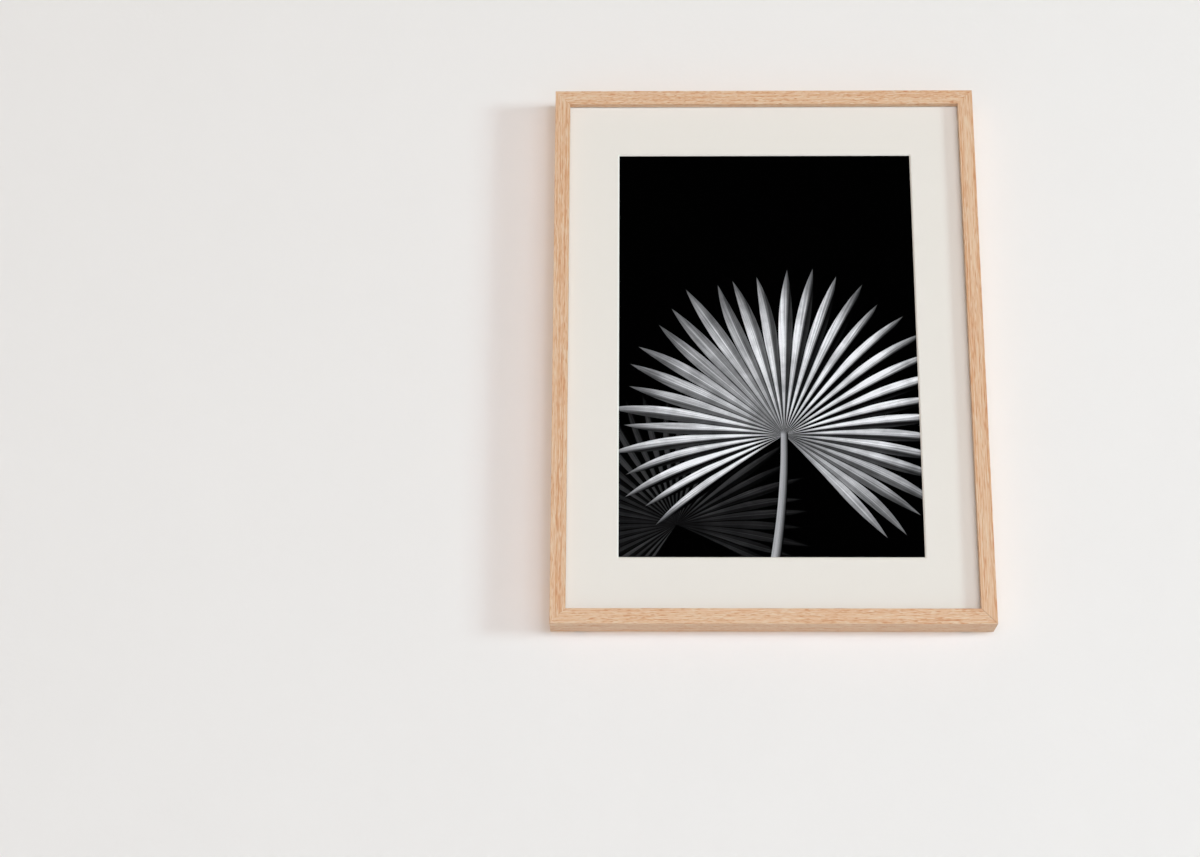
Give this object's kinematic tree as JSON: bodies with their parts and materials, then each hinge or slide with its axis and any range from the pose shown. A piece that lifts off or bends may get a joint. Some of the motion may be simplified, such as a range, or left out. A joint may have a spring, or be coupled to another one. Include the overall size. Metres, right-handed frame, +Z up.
{
  "type": "framed wall picture",
  "caption": "Portrait wall picture in a deep mitred oak frame, with glazing, a wide off-white mat with a bevelled window, a monochrome print, a backing board held by tabs, and a toothed hanger.",
  "frame": {"origin": "middle of the toothed hanger's back face, where it meets the wall", "axes": "+Z up the picture, -Y out of the wall towards the viewer, +X to the viewer's right"},
  "size_m": [0.481, 0.038, 0.634],
  "materials": {
    "oak": "pale oak, straight grain along each rail, clear matt lacquer, crisp edges",
    "glazing": "clear flat acrylic picture glazing with little reflection",
    "mat_card": "warm off-white mat card, matt, with a paler bevelled core at the window",
    "print_paper": null,
    "backing_board": "brown hardboard, smooth with a fine fibre pattern",
    "zinc_steel": "thin zinc-plated spring steel",
    "bumper": "matt black rubber pad"
  },
  "bodies": {
    "root": {"rail_top": "oak", "rail_right": "oak", "rail_bottom": "oak", "rail_left": "oak", "glazing": "glazing", "mat_board": "mat_card", "print_sheet": "print_paper", "backing_board": "backing_board", "tab_top_1": "zinc_steel", "tab_top_2": "zinc_steel", "tab_right_1": "zinc_steel", "tab_right_2": "zinc_steel", "tab_right_3": "zinc_steel", "tab_bottom_1": "zinc_steel", "tab_bottom_2": "zinc_steel", "tab_left_1": "zinc_steel", "tab_left_2": "zinc_steel", "tab_left_3": "zinc_steel", "corner_nail_top_right": "zinc_steel", "corner_nail_bottom_right": "zinc_steel", "corner_nail_bottom_left": "zinc_steel", "corner_nail_top_left": "zinc_steel", "hanger_plate": "zinc_steel", "hanger_nail_left": "zinc_steel", "hanger_nail_right": "zinc_steel", "bumper_left": "bumper", "bumper_right": "bumper"}
  },
  "joints": []
}
